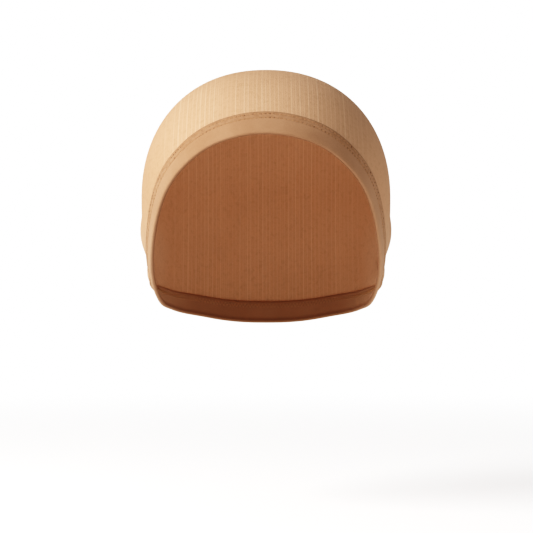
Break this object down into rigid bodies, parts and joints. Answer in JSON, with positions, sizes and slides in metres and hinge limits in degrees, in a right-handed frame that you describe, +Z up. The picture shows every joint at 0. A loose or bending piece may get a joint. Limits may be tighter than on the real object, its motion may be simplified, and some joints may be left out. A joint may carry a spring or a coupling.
{
  "type": "wig cap",
  "caption": "Close-fitting stretch-knit wig cap: a ribbed dome with a doubled band round the face opening and nape.",
  "frame": {"origin": "the inside of the crown's top, where the cap sits on a head", "axes": "-Y out of the face opening, +Y to the back of the head, +X to the wearer's left, +Z up"},
  "size_m": [0.1624, 0.187, 0.1651],
  "materials": {
    "crown_knit": "matte rib knit",
    "band_knit": "matte smooth knit"
  },
  "bodies": {
    "root": {"crown": "crown_knit", "band": "band_knit"}
  },
  "joints": []
}
